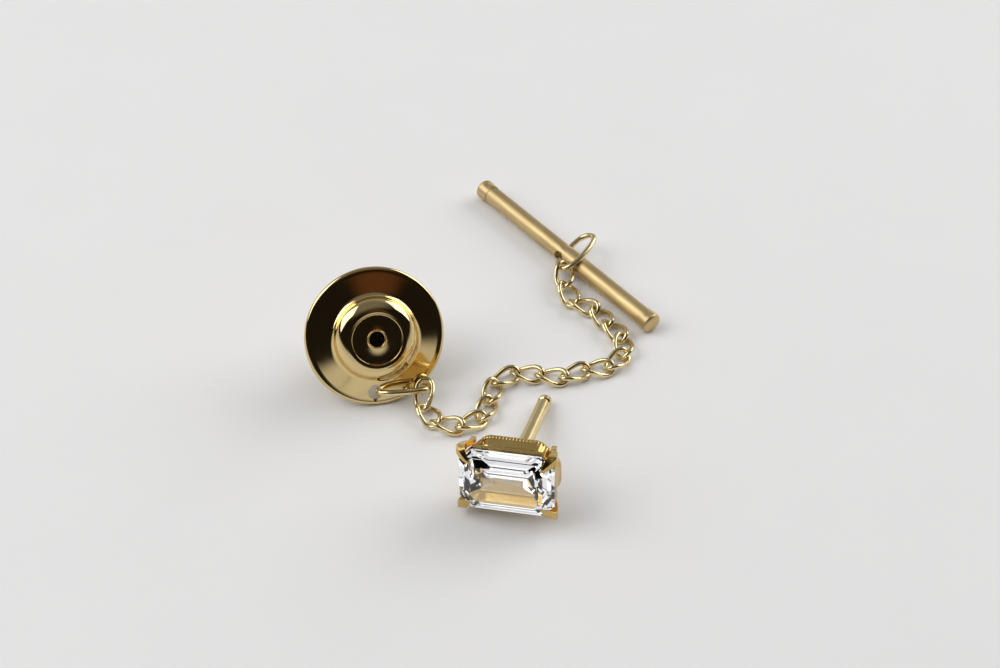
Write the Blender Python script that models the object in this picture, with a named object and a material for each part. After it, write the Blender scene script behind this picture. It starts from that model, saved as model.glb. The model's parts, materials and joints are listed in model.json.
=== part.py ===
"""Tie tack laid out on a table, with its clutch, safety chain and T-bar.

Lengths are metres and +Z is up. The clutch leans back on its own pull knob,
the tack lies on the edge of its setting and on the tip of its post, and the
chain runs flat over the table from the clutch to the T-bar. Every size that
drives the shape is named once below, and the pieces that fit each other are
worked out from those sizes and from named gaps.
"""
import math

import bmesh
import bpy
import numpy
from mathutils import Matrix, Vector

MM = 0.001

# Gaps between pieces that touch or run on each other.
seat_gap = 0.03 * MM
running_gap = 0.06 * MM

# Clutch cap: a spun disc with a domed middle and a recessed face.
clutch_radius = 5.5 * MM
rim_bead_radius = 0.26 * MM
sheet_thickness = 0.34 * MM
brim_rise = 0.45 * MM
dome_radius = 3.3 * MM
dome_height = 1.25 * MM
collar_radius = 2.12 * MM
collar_lip_width = 0.16 * MM
face_recess = 0.38 * MM
brim_hole_radius = 0.6 * MM
brim_hole_inset = 1.08 * MM
brim_hole_angle = math.radians(-97.5)

# Post of the tack, and the ball lock inside the clutch that grips it.
post_radius = 0.55 * MM
post_length = 10.2 * MM
post_groove_depth = 0.12 * MM
post_groove_width = 0.35 * MM
post_groove_setback = 0.75 * MM
ball_radius = 0.36 * MM
ball_count = 3
cone_half_angle = math.radians(12.0)
knob_travel = 0.8 * MM
ball_height = -0.15 * MM
cage_wall = 0.34 * MM
cage_front_height = 0.42 * MM
cage_flange_thickness = 0.3 * MM
cage_flange_width = 0.85 * MM
housing_radius = 3.1 * MM
housing_wall = 0.28 * MM
housing_back = -3.3 * MM
rear_cover_thickness = 0.28 * MM
knob_radius = 2.95 * MM
knob_thickness = 0.85 * MM
knob_edge_radius = 0.22 * MM
knob_standoff = 0.25 * MM
spring_wire_radius = 0.1 * MM
spring_turns = 3.0

# Chain of twisted oval links.
link_length = 2.9 * MM
link_width = 1.8 * MM
link_wire_radius = 0.2 * MM
link_slack = 0.14 * MM
link_roundness = 2.6
link_twist = math.radians(45.0)

# Two longer rings, one through the brim and one through the bar.
ring_room = 2.08 * MM
ring_width = 2.7 * MM
ring_wire_radius = 0.24 * MM
ring_roundness = 2.4
ring_slack = 0.1 * MM
first_hook_back = 0.63 * MM
first_hook_margin = 0.47 * MM
first_hook_offset = 0.5 * MM
clutch_ring_slope = math.radians(-5.0)
bar_ring_tilt = math.radians(9.0)
bar_ring_slip = 0.25 * MM
bar_ring_yaw = math.radians(12.0)
brim_ring_shift = 0.2 * MM

# T-bar with a cross hole at its middle and a cap pressed on each end.
bar_length = 22.4 * MM
bar_radius = 0.76 * MM
bar_hole_radius = 0.5 * MM
cap_length = 1.0 * MM
cap_wall = 0.09 * MM
cap_dome = 0.35 * MM

# Step-cut stone and its four-claw setting.
stone_half_width = 3.6 * MM
stone_half_height = 2.5 * MM
stone_corner_cut = 0.95 * MM
crown_height = 0.8 * MM
girdle_height = 0.14 * MM
pavilion_depth = 1.75 * MM
table_inset = 1.05 * MM
tray_depth = 2.35 * MM
tray_rim_height = 1.45 * MM
tray_corner_cut = 1.5 * MM
tray_wall = 0.36 * MM
tray_floor = 0.3 * MM
claw_radius = 0.46 * MM
claw_reach = 0.95 * MM
claw_height = 0.9 * MM
seat_rail_thickness = 0.34 * MM
seat_rail_height = 0.4 * MM
foot_radius = 1.15 * MM
foot_height = 0.4 * MM

# Where the three groups lie on the table.
clutch_spot = Vector((-9.8, -5.1)) * MM
clutch_turn = math.radians(14.0)
tack_spot = Vector((0.5, -19.4)) * MM
tack_turn = math.radians(-15.0)
tack_roll = math.radians(5.0)
bar_heading = math.radians(-51.1)

# Heading of each link in turn, in degrees from +X, from the clutch to the bar.
link_headings = (-97, -57, -14, 29, 72, 79, 36, -7, -9, 28, 7, 50, 93, 125, 120, 154, 111, 89)

# Facets around each kind of piece.
disc_segments = 40
wire_sides = 6
link_steps = 22
ring_steps = 28


def clear_scene():
    for thing in list(bpy.data.objects):
        bpy.data.objects.remove(thing)


def make_material(name, colour, metallic, roughness, transmission=0.0):
    material = bpy.data.materials.new(name)
    material.use_nodes = True
    shader = material.node_tree.nodes["Principled BSDF"]
    shader.inputs["Base Color"].default_value = (*colour, 1.0)
    shader.inputs["Metallic"].default_value = metallic
    shader.inputs["Roughness"].default_value = roughness
    shader.inputs["Transmission Weight"].default_value = transmission
    return material


def make_frame(name, parent=None, matrix=None):
    frame = bpy.data.objects.new(name, None)
    bpy.context.scene.collection.objects.link(frame)
    frame.empty_display_size = 2.0 * MM
    frame.parent = parent
    if matrix is not None:
        frame.matrix_local = matrix
    return frame


def make_piece(name, points, faces, material, parent, matrix=None, smooth_angle=40.0):
    """One closed body from its points and faces, turned to face outwards."""
    mesh = bpy.data.meshes.new(name)
    mesh.from_pydata([tuple(point) for point in points], [], faces)
    sheet = bmesh.new()
    sheet.from_mesh(mesh)
    bmesh.ops.recalc_face_normals(sheet, faces=sheet.faces)
    sheet.to_mesh(mesh)
    sheet.free()
    mesh.materials.append(material)
    mesh.shade_smooth()
    mesh.set_sharp_from_angle(angle=math.radians(smooth_angle))
    piece = bpy.data.objects.new(name, mesh)
    bpy.context.scene.collection.objects.link(piece)
    piece.parent = parent
    if matrix is not None:
        piece.matrix_local = matrix
    return piece


def spun_points(profile, segments):
    """Points and faces of a closed profile of (radius, height) spun about Z."""
    points = []
    rows = []
    for radius, height in profile:
        if radius == 0.0:
            rows.append([len(points)] * segments)
            points.append(Vector((0.0, 0.0, height)))
            continue
        row = []
        for step in range(segments):
            angle = 2.0 * math.pi * step / segments
            row.append(len(points))
            points.append(Vector((radius * math.cos(angle), radius * math.sin(angle), height)))
        rows.append(row)
    faces = []
    for index, row in enumerate(rows):
        after = rows[(index + 1) % len(rows)]
        for step in range(segments):
            corners = [row[step], row[(step + 1) % segments]]
            corners += [after[(step + 1) % segments], after[step]]
            distinct = []
            for corner in corners:
                if corner not in distinct:
                    distinct.append(corner)
            if len(distinct) > 2:
                faces.append(distinct)
    return points, faces


def spin(name, profile, material, parent, matrix=None, segments=disc_segments):
    points, faces = spun_points(profile, segments)
    return make_piece(name, points, faces, material, parent, matrix)


def loft_points(rings, closed=False):
    """Points and faces through equal rings of points, capped unless closed."""
    points = [point for ring in rings for point in ring]
    count = len(rings[0])
    faces = []
    spans = len(rings) if closed else len(rings) - 1
    for span in range(spans):
        start = span * count
        after = ((span + 1) % len(rings)) * count
        for step in range(count):
            follow = (step + 1) % count
            faces.append([start + step, start + follow, after + follow, after + step])
    if not closed:
        faces.append(list(range(count)))
        faces.append(list(range((len(rings) - 1) * count, len(rings) * count)))
    return points, faces


def cut_with(piece, cutter):
    """Take the cutter out of the piece, and leave it hidden as a wire shape."""
    cutter.hide_render = True
    cutter.display_type = "WIRE"
    cut = piece.modifiers.new("cut", "BOOLEAN")
    cut.operation = "DIFFERENCE"
    cut.solver = "EXACT"
    cut.object = cutter


def drill(piece, name, radius, length, matrix, segments=16):
    """A round cutter along its own Z, taken out of the piece."""
    half = length / 2.0
    profile = [(0.0, half), (radius, half), (radius, -half), (0.0, -half)]
    points, faces = spun_points(profile, segments)
    cutter = make_piece(name, points, faces, piece.data.materials[0], piece.parent, matrix)
    cut_with(piece, cutter)


def oval_centreline(length, width, wire_radius, roundness, steps, twists):
    """Even points of a rounded oval of wire, twisted from one end to the other."""
    half_length = length / 2.0 - wire_radius
    half_width = width / 2.0 - wire_radius
    power = 2.0 / roundness
    fine = []
    for step in range(steps * 40):
        angle = 2.0 * math.pi * step / (steps * 40)
        across = math.copysign(abs(math.cos(angle)) ** power, math.cos(angle))
        up = math.copysign(abs(math.sin(angle)) ** power, math.sin(angle))
        fine.append((half_length * across, half_width * up))
    fine.append(fine[0])
    walked = [0.0]
    for before, after in zip(fine, fine[1:]):
        walked.append(walked[-1] + math.dist(before, after))
    marks = numpy.linspace(0.0, walked[-1], steps, endpoint=False)
    along = numpy.interp(marks, walked, [point[0] for point in fine])
    side = numpy.interp(marks, walked, [point[1] for point in fine])
    points = []
    for x, y in zip(along, side):
        share = (x / half_length + 1.0) / 2.0
        turn = twists[0] + (twists[1] - twists[0]) * share
        points.append(Vector((x, y * math.cos(turn), y * math.sin(turn))))
    return points


def wire_points(centreline, radius, sides, closed):
    """A round wire along its centreline, with its end faces if it is open."""
    rings = []
    count = len(centreline)
    for index, centre in enumerate(centreline):
        if closed:
            direction = centreline[(index + 1) % count] - centreline[index - 1]
        else:
            direction = centreline[min(index + 1, count - 1)] - centreline[max(index - 1, 0)]
        direction.normalize()
        middle = sum(centreline, Vector()) / count
        outward = centre - middle
        outward -= direction * outward.dot(direction)
        outward.normalize()
        binormal = direction.cross(outward)
        ring = []
        for side in range(sides):
            angle = 2.0 * math.pi * side / sides
            ring.append(centre + radius * (outward * math.cos(angle) + binormal * math.sin(angle)))
        rings.append(ring)
    return loft_points(rings, closed)


def resting_lean(tall, deep, offset):
    """The lean at which tall*cos(lean) - deep*sin(lean) equals offset."""
    return math.acos(offset / math.hypot(tall, deep)) - math.atan2(deep, tall)


def axes_matrix(along, across, place):
    """A frame with X along one direction, Y towards the other, at a place."""
    x_axis = along.normalized()
    z_axis = x_axis.cross(across).normalized()
    y_axis = z_axis.cross(x_axis)
    matrix = Matrix((x_axis, y_axis, z_axis)).transposed().to_4x4()
    matrix.translation = place
    return matrix


clear_scene()
gold = make_material("polished_gold_plate", (0.83, 0.62, 0.26), 1.0, 0.16)
chain_gold = make_material("chain_gold_plate", (0.85, 0.67, 0.33), 1.0, 0.22)
bar_gold = make_material("satin_gold_plate", (0.78, 0.63, 0.36), 1.0, 0.38)
steel = make_material("spring_steel", (0.62, 0.62, 0.64), 1.0, 0.25)
stone_clear = make_material("clear_stone", (0.97, 0.97, 0.98), 0.0, 0.02, 0.9)
layout = make_frame("table_layout")

# The clutch. Its own +Z leaves the dome, and its rim bead lies round Z = 0.
bore_radius = post_radius + running_gap
cage_inner_radius = bore_radius
cage_outer_radius = cage_inner_radius + cage_wall
knob_back = housing_back - knob_standoff - knob_thickness
bead_circle = clutch_radius - rim_bead_radius
clutch_lean = resting_lean(
    bead_circle - (knob_radius - knob_edge_radius),
    -knob_back - knob_edge_radius,
    knob_edge_radius - rim_bead_radius,
)
clutch_rise = bead_circle * math.cos(clutch_lean) + rim_bead_radius
clutch_matrix = Matrix.Translation((*clutch_spot, clutch_rise))
clutch_matrix @= Matrix.Rotation(clutch_turn, 4, "Z")
clutch_matrix @= Matrix.Rotation(math.pi / 2.0 - clutch_lean, 4, "X")
clutch = make_frame("clutch_axis", layout, clutch_matrix)

dome_foot_height = brim_rise
dome_top_height = brim_rise + dome_height
face_height = dome_top_height - face_recess
collar_inner_radius = collar_radius - collar_lip_width


def bead_point(angle_degrees):
    angle = math.radians(angle_degrees)
    return (bead_circle + rim_bead_radius * math.cos(angle), rim_bead_radius * math.sin(angle))


def dome_surface(offset):
    """The dome and brim outline from the rim bead inwards, at an offset."""
    outline = []
    outline.append((bead_circle - 0.3 * MM, 0.10 * MM + offset))
    outline.append((bead_circle - 1.1 * MM, 0.24 * MM + offset))
    outline.append((dome_radius, dome_foot_height + offset))
    for share in (0.25, 0.5, 0.75):
        angle = share * math.pi / 2.0
        reach = dome_radius - collar_radius
        radius = collar_radius + reach * math.cos(angle)
        height = dome_foot_height + (dome_height - 0.12 * MM) * math.sin(angle)
        outline.append((radius, height + offset))
    return outline


cap_profile = [bead_point(angle) for angle in (-150, -90, -30, 30, 90)]
cap_profile += dome_surface(sheet_thickness / 2.0)
cap_profile.append((collar_radius, dome_top_height))
cap_profile.append((collar_inner_radius, dome_top_height))
cap_profile.append((collar_inner_radius, face_height - sheet_thickness))
cap_profile += reversed(dome_surface(-sheet_thickness / 2.0)[:-1])
cap = spin("clutch_cap", cap_profile, gold, clutch)
brim_hole_place = Vector((math.cos(brim_hole_angle), math.sin(brim_hole_angle), 0.0))
brim_hole_place *= clutch_radius - brim_hole_inset
drill(cap, "brim_hole_cutter", brim_hole_radius, 3.0 * MM, Matrix.Translation(brim_hole_place))

plate_radius = collar_inner_radius - seat_gap
eyelet_height = 0.12 * MM
eyelet_width = 0.22 * MM
nose_profile = [(bore_radius, face_height + eyelet_height)]
nose_profile.append((bore_radius, face_height - sheet_thickness))
nose_profile.append((plate_radius, face_height - sheet_thickness))
nose_profile.append((plate_radius, face_height))
nose_profile.append((bore_radius + eyelet_width, face_height))
nose_profile.append((bore_radius + eyelet_width * 0.8, face_height + eyelet_height))
spin("nose_plate", nose_profile, gold, clutch, segments=24)

# The fixed cone narrows towards the face, so a pull on the post jams the balls.
ball_orbit = bore_radius + ball_radius * 0.66
cone_slope = math.tan(cone_half_angle)
cone_radius_at_ball = ball_orbit + (ball_radius + seat_gap) / math.cos(cone_half_angle)


def cone_radius(height):
    return cone_radius_at_ball - (height - ball_height) * cone_slope


housing_top = -rim_bead_radius - seat_gap
cone_front = cage_front_height + 0.1 * MM
cover_front = housing_back + rear_cover_thickness
spring_squeezed = 2.0 * spring_wire_radius * (spring_turns + 1.0)
flange_back = cover_front + spring_squeezed + knob_travel
flange_front = flange_back + cage_flange_thickness
cone_back = flange_front + seat_gap
cone_outer_radius = housing_radius - housing_wall - seat_gap
cone_shoulder_radius = collar_radius - 0.1 * MM
cone_profile = [(cone_radius(cone_front), cone_front)]
cone_profile.append((cone_radius(cone_back), cone_back))
cone_profile.append((cone_outer_radius, cone_back))
cone_profile.append((cone_outer_radius, housing_top))
cone_profile.append((cone_shoulder_radius, cone_front))
spin("cone_bushing", cone_profile, steel, clutch, segments=28)

housing_profile = [(housing_radius - housing_wall, housing_top)]
housing_profile.append((housing_radius - housing_wall, housing_back))
housing_profile.append((housing_radius, housing_back))
housing_profile.append((housing_radius, housing_top))
spin("housing", housing_profile, gold, clutch, segments=32)

stem_radius = cage_outer_radius
cover_profile = [(stem_radius + running_gap, cover_front)]
cover_profile.append((stem_radius + running_gap, housing_back))
cover_profile.append((cone_outer_radius, housing_back))
cover_profile.append((cone_outer_radius, cover_front))
spin("rear_cover", cover_profile, gold, clutch, segments=32)

# The moving group: ball cage with its flange, balls and pull knob.
knob_front = housing_back - knob_standoff
knob_floor = knob_back + 0.3 * MM
cage_back = knob_floor + seat_gap
flange_radius = cage_outer_radius + cage_flange_width
cage_profile = [(cage_inner_radius, cage_front_height)]
cage_profile.append((cage_inner_radius, cage_back))
cage_profile.append((cage_outer_radius, cage_back))
cage_profile.append((cage_outer_radius, flange_back))
cage_profile.append((flange_radius, flange_back))
cage_profile.append((flange_radius, flange_front))
cage_profile.append((cage_outer_radius, flange_front))
cage_profile.append((cage_outer_radius, cage_front_height))
cage = spin("ball_cage", cage_profile, steel, clutch, segments=24)


def around_axis(index, count):
    return Matrix.Rotation(2.0 * math.pi * index / count + math.pi / 2.0, 4, "Z")


def ball_profile(radius, rows):
    profile = []
    for row in range(rows + 1):
        angle = math.pi * row / rows
        ring_radius = 0.0 if row in (0, rows) else radius * math.sin(angle)
        profile.append((ring_radius, radius * math.cos(angle)))
    return profile


for index in range(ball_count):
    spoke = around_axis(index, ball_count)
    seat = spoke @ Matrix.Translation((ball_orbit, 0.0, ball_height))
    window = seat @ Matrix.Rotation(math.pi / 2.0, 4, "Y")
    drill(cage, "window_cutter_%d" % (index + 1), ball_radius + seat_gap, 1.6 * MM, window, 12)
    spin("lock_ball_%d" % (index + 1), ball_profile(ball_radius, 8), steel, clutch, seat, segments=12)

knob_bore = cage_outer_radius + seat_gap
knob_profile = [(0.0, knob_floor), (0.0, knob_back), (knob_radius - knob_edge_radius, knob_back)]
for angle_degrees in (30, 60, 90):
    angle = math.radians(angle_degrees)
    radius = knob_radius - knob_edge_radius + knob_edge_radius * math.sin(angle)
    knob_profile.append((radius, knob_back + knob_edge_radius * (1.0 - math.cos(angle))))
knob_profile.append((knob_radius, knob_front - 0.12 * MM))
knob_profile.append((knob_radius - 0.12 * MM, knob_front))
knob_profile.append((knob_bore, knob_front))
knob_profile.append((knob_bore, knob_floor))
spin("pull_knob", knob_profile, gold, clutch)

spring_low = cover_front + spring_wire_radius + seat_gap
spring_high = flange_back - spring_wire_radius - seat_gap
spring_mean_radius = (flange_radius + cage_outer_radius + running_gap) / 2.0
spring_steps = int(spring_turns * 14)
spring_line = []
for step in range(spring_steps + 1):
    angle = 2.0 * math.pi * spring_turns * step / spring_steps
    height = spring_low + (spring_high - spring_low) * step / spring_steps
    spot = (spring_mean_radius * math.cos(angle), spring_mean_radius * math.sin(angle), height)
    spring_line.append(Vector(spot))
points, faces = wire_points(spring_line, spring_wire_radius, wire_sides, False)
make_piece("knob_spring", points, faces, steel, clutch, smooth_angle=60.0)

# The ring through the brim hole lies along the brim and leaves past its edge.
ring_length = 2.0 * bar_radius + 6.0 * link_wire_radius + ring_room
ring_half_length = ring_length / 2.0 - ring_wire_radius
ring_half_width = ring_width / 2.0 - ring_wire_radius
link_half_length = link_length / 2.0 - link_wire_radius
link_pitch = link_length - 4.0 * link_wire_radius - link_slack
hook_depth = link_half_length - link_pitch / 2.0
ring_hook = ring_half_length - hook_depth - ring_slack
ring_direction = Vector((math.cos(clutch_ring_slope), math.sin(clutch_ring_slope), 0.0))
ring_start = brim_hole_place + ring_direction * brim_ring_shift + Vector((0.0, 0.0, 0.16 * MM))
ring_frame = clutch_matrix @ axes_matrix(ring_direction, Vector((0.0, 0.0, 1.0)), ring_start)


def oval_piece(name, sizes, shift, material, matrix):
    """A wire oval whose own origin is shifted along it from its middle."""
    centreline = oval_centreline(*sizes)
    moved = [point + Vector((shift, 0.0, 0.0)) for point in centreline]
    points, faces = wire_points(moved, sizes[2], wire_sides, True)
    make_piece(name, points, faces, material, layout, matrix, 60.0)


flat = (0.0, 0.0)
full_twist = (-link_twist, link_twist)
half_twist = (0.0, link_twist)
ring_sizes = (ring_length, ring_width, ring_wire_radius, ring_roundness, ring_steps, flat)
link_shape = (link_length, link_width, link_wire_radius, link_roundness, link_steps)
oval_piece("clutch_ring", ring_sizes, ring_half_length, chain_gold, ring_frame)

# The bar rests on its caps; its ring goes through the hole and over the bar.
cap_radius = bar_radius + seat_gap + cap_wall
bar_direction = Vector((math.cos(bar_heading), math.sin(bar_heading), 0.0))
bar_left = Vector((-bar_direction.y, bar_direction.x, 0.0))
ring_climb = math.asin((bar_radius + ring_wire_radius + seat_gap) / (2.0 * ring_half_width))
ring_yaw = Matrix.Rotation(bar_ring_yaw, 3, "Z")
ring_rise_way = ring_yaw @ (bar_direction * math.cos(ring_climb) + Vector((0.0, 0.0, math.sin(ring_climb))))
ring_level = ring_yaw @ bar_left
ring_along = ring_level * math.cos(bar_ring_tilt) + ring_rise_way.cross(ring_level) * math.sin(bar_ring_tilt)
hole_from_middle = ring_rise_way * -ring_half_width - ring_along * bar_ring_slip
hook_from_middle = ring_along * -ring_hook
bar_axis_height = cap_radius
last_hook_height = bar_axis_height - hole_from_middle.z + hook_from_middle.z

# Hook points of the chain, from the clutch ring to the ring on the bar.
flat_height = link_wire_radius
for spot in oval_centreline(*link_shape, full_twist):
    flat_height = max(flat_height, spot.z + link_wire_radius)
first_hook_along = 2.0 * ring_half_length - first_hook_back
first_hook_side = ring_half_width - first_hook_margin
first_hook = ring_frame @ Vector((first_hook_along, first_hook_side, -first_hook_offset))
hook_heights = [first_hook.z] + [flat_height] * (len(link_headings) - 2)
hook_heights.append(flat_height + 0.35 * (last_hook_height - flat_height))
hook_heights.append(last_hook_height)
hooks = [first_hook]
for index, heading_degrees in enumerate(link_headings):
    climb = hook_heights[index + 1] - hook_heights[index]
    run = math.sqrt(link_pitch ** 2 - climb ** 2)
    heading = math.radians(heading_degrees)
    step = Vector((run * math.cos(heading), run * math.sin(heading), climb))
    hooks.append(hooks[-1] + step)
for index in range(len(link_headings)):
    along = hooks[index + 1] - hooks[index]
    across = Vector((-along.y, along.x, 0.0))
    frame = axes_matrix(along, across, hooks[index])
    twists = half_twist if index == 0 else full_twist
    sizes = (*link_shape, twists)
    oval_piece("link_%02d" % (index + 1), sizes, link_pitch / 2.0, chain_gold, frame)

ring_middle = hooks[-1] - hook_from_middle
bar_ring_frame = axes_matrix(ring_along, ring_rise_way, hooks[-1])
oval_piece("bar_ring", ring_sizes, ring_hook, chain_gold, bar_ring_frame)
bar_hole_place = ring_middle + hole_from_middle
bar_matrix = axes_matrix(bar_direction, bar_left, bar_hole_place)
bar_axis = make_frame("bar_axis", layout, bar_matrix)
along_bar = Matrix.Rotation(math.pi / 2.0, 4, "Y")
half_bar = bar_length / 2.0 - cap_dome
bar_profile = [(0.0, half_bar), (bar_radius, half_bar), (bar_radius, -half_bar), (0.0, -half_bar)]
bar = spin("t_bar", bar_profile, bar_gold, bar_axis, along_bar, segments=24)
across_bar = Matrix.Rotation(math.pi / 2.0, 4, "X")
drill(bar, "bar_hole_cutter", bar_hole_radius, 4.0 * MM, across_bar)


def cap_outline(sign):
    """A domed cup over one end of the bar; sign says which end."""
    inner = bar_radius + seat_gap
    end = half_bar + seat_gap
    profile = [(0.0, end), (inner, end), (inner, half_bar - cap_length), (cap_radius, half_bar - cap_length)]
    profile.append((cap_radius, end))
    for share in (0.35, 0.7):
        angle = share * math.pi / 2.0
        profile.append((cap_radius * math.cos(angle), end + (cap_dome - seat_gap) * math.sin(angle)))
    profile.append((cap_radius * 0.3, bar_length / 2.0))
    profile.append((0.0, bar_length / 2.0))
    return [(radius, sign * height) for radius, height in profile]


spin("bar_cap_near", cap_outline(1.0), bar_gold, bar_axis, along_bar, segments=24)
spin("bar_cap_far", cap_outline(-1.0), bar_gold, bar_axis, along_bar, segments=24)

# The tack. Its own +Z leaves the face of the stone; the girdle lies round Z = 0.
claw_out = (claw_radius + seat_gap) * math.sqrt(0.5)
claw_x = stone_half_width - stone_corner_cut / 2.0 + claw_out
claw_y = stone_half_height - stone_corner_cut / 2.0 + claw_out
claw_drop = claw_y * math.cos(tack_roll) + claw_x * math.sin(tack_roll) + claw_radius
tip_run = post_length - post_radius
tack_lean = resting_lean(claw_drop, tip_run, post_radius)
tack_rise = post_radius + (tip_run + tray_depth) * math.sin(tack_lean)
tack_matrix = Matrix.Translation((*tack_spot, tack_rise))
tack_matrix @= Matrix.Rotation(tack_turn, 4, "Z")
tack_matrix @= Matrix.Rotation(math.pi / 2.0 - tack_lean, 4, "X")
tack_matrix @= Matrix.Rotation(tack_roll, 4, "Z")
tack = make_frame("tack_axis", layout, tack_matrix)


def octagon(inset, height, corner_cut=stone_corner_cut):
    """The stone's cut-corner outline, moved in by an inset, at a height."""
    half_x = stone_half_width - inset
    half_y = stone_half_height - inset
    cut = min(corner_cut - inset * (2.0 - math.sqrt(2.0)), 0.6 * min(half_x, half_y))
    outline = []
    for x_sign, y_sign in ((1, 1), (-1, 1), (-1, -1), (1, -1)):
        corner_pair = [(half_x, half_y - cut), (half_x - cut, half_y)]
        if x_sign * y_sign < 0:
            corner_pair.reverse()
        for x, y in corner_pair:
            outline.append(Vector((x_sign * x, y_sign * y, height)))
    return outline


half_girdle = girdle_height / 2.0
keel_inset = stone_half_height - 0.05 * MM
stone_rings = [octagon(keel_inset, -pavilion_depth)]
stone_rings.append(octagon(0.62 * stone_half_height, -0.78 * pavilion_depth))
stone_rings.append(octagon(0.3 * stone_half_height, -0.42 * pavilion_depth))
stone_rings.append(octagon(0.0, -half_girdle))
stone_rings.append(octagon(0.0, half_girdle))
stone_rings.append(octagon(0.45 * table_inset, half_girdle + 0.58 * (crown_height - half_girdle)))
stone_rings.append(octagon(table_inset, crown_height))
points, faces = loft_points(stone_rings)
make_piece("stone", points, faces, stone_clear, tack, smooth_angle=5.0)

rail_top = -0.24 * pavilion_depth
rail_low = rail_top - seat_rail_height
rail_inner = seat_gap + seat_rail_thickness
rail_rings = [octagon(seat_gap, rail_low), octagon(seat_gap, rail_top)]
rail_rings += [octagon(rail_inner, rail_top), octagon(rail_inner, rail_low)]
points, faces = loft_points(rail_rings, True)
make_piece("seat_rail", points, faces, gold, tack)

tray_back = -tray_depth
tray_top = tray_back + tray_rim_height
tray_rings = [octagon(0.0, tray_back, tray_corner_cut), octagon(0.0, tray_top, tray_corner_cut)]
tray_rings.append(octagon(tray_wall, tray_top, tray_corner_cut))
tray_rings.append(octagon(tray_wall, tray_back + tray_floor, tray_corner_cut))
points, faces = loft_points(tray_rings)
make_piece("setting_tray", points, faces, gold, tack)

claw_root = 0.75 * (tray_corner_cut - stone_corner_cut) * math.sqrt(2.0)
claw_path = [(claw_root, tray_back, 0.6), (0.85 * claw_root, -0.72 * tray_depth, 0.6)]
claw_path.append((0.1 * MM, -0.36 * tray_depth, 0.75))
claw_path.append((0.0, -0.12 * tray_depth, 0.9))
claw_path.append((0.0, 0.05 * claw_height, 1.0))
claw_path.append((0.35 * claw_reach, 0.45 * claw_height, 0.8))
claw_path.append((0.75 * claw_reach, 0.75 * claw_height, 0.5))
claw_path.append((claw_reach, claw_height, 0.1))
claw_names = ("claw_upper_right", "claw_upper_left", "claw_lower_left", "claw_lower_right")
claw_sides = 4
for name, x_sign, y_sign in zip(claw_names, (1, -1, -1, 1), (1, 1, -1, -1)):
    inward = Vector((-x_sign, -y_sign, 0.0)).normalized()
    sideways = Vector((-inward.y, inward.x, 0.0))
    claw_rings = []
    for reach, height, share in claw_path:
        centre = Vector((x_sign * claw_x, y_sign * claw_y, height)) + inward * reach
        ring = []
        for side in range(claw_sides):
            angle = 2.0 * math.pi * side / claw_sides
            spread = inward * math.cos(angle) + sideways * math.sin(angle)
            ring.append(centre + spread * claw_radius * share)
        claw_rings.append(ring)
    points, faces = loft_points(claw_rings)
    make_piece(name, points, faces, gold, tack)

foot_top = tray_back - seat_gap
foot_profile = [(post_radius + seat_gap, foot_top), (foot_radius, foot_top)]
foot_profile.append((foot_radius, foot_top - 0.6 * foot_height))
foot_profile.append((foot_radius - 0.2 * MM, foot_top - foot_height))
foot_profile.append((post_radius + seat_gap, foot_top - foot_height))
spin("post_foot", foot_profile, gold, tack, segments=24)

tip = tray_back - post_length
groove_front = tip + post_groove_setback + post_groove_width
groove_back = tip + post_groove_setback
groove_radius = post_radius - post_groove_depth
post_profile = [(0.0, foot_top), (post_radius, foot_top), (post_radius, groove_front)]
post_profile.append((groove_radius, groove_front - 0.3 * post_groove_width))
post_profile.append((groove_radius, groove_back + 0.3 * post_groove_width))
post_profile.append((post_radius, groove_back))
for angle_degrees in (0, 30, 60):
    angle = math.radians(angle_degrees)
    height = tip + post_radius * (1.0 - math.sin(angle))
    post_profile.append((post_radius * math.cos(angle), height))
post_profile.append((0.0, tip))
spin("tack_post", post_profile, gold, tack, segments=20)

# The set is centred over the origin and stands on Z = 0.
bpy.context.view_layer.update()
lows = Vector((math.inf, math.inf, math.inf))
highs = -lows
for thing in bpy.data.objects:
    if thing.type != "MESH" or thing.hide_render:
        continue
    for vertex in thing.data.vertices:
        place = thing.matrix_world @ vertex.co
        lows = Vector(map(min, lows, place))
        highs = Vector(map(max, highs, place))
layout.location = (-(lows.x + highs.x) / 2.0, -(lows.y + highs.y) / 2.0, -lows.z)
bpy.context.view_layer.update()
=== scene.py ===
"""Tie tack laid out on a pale table: gold plate, a clear step-cut stone and soft studio light.

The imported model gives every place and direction. The pieces that show are made again here with
rounder wire, spun sheet and cut facets, and each rides on the body of the piece that it stands for.
"""
import json
import math

import bmesh
import bpy
import numpy
from mathutils import Matrix, Vector


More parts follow.
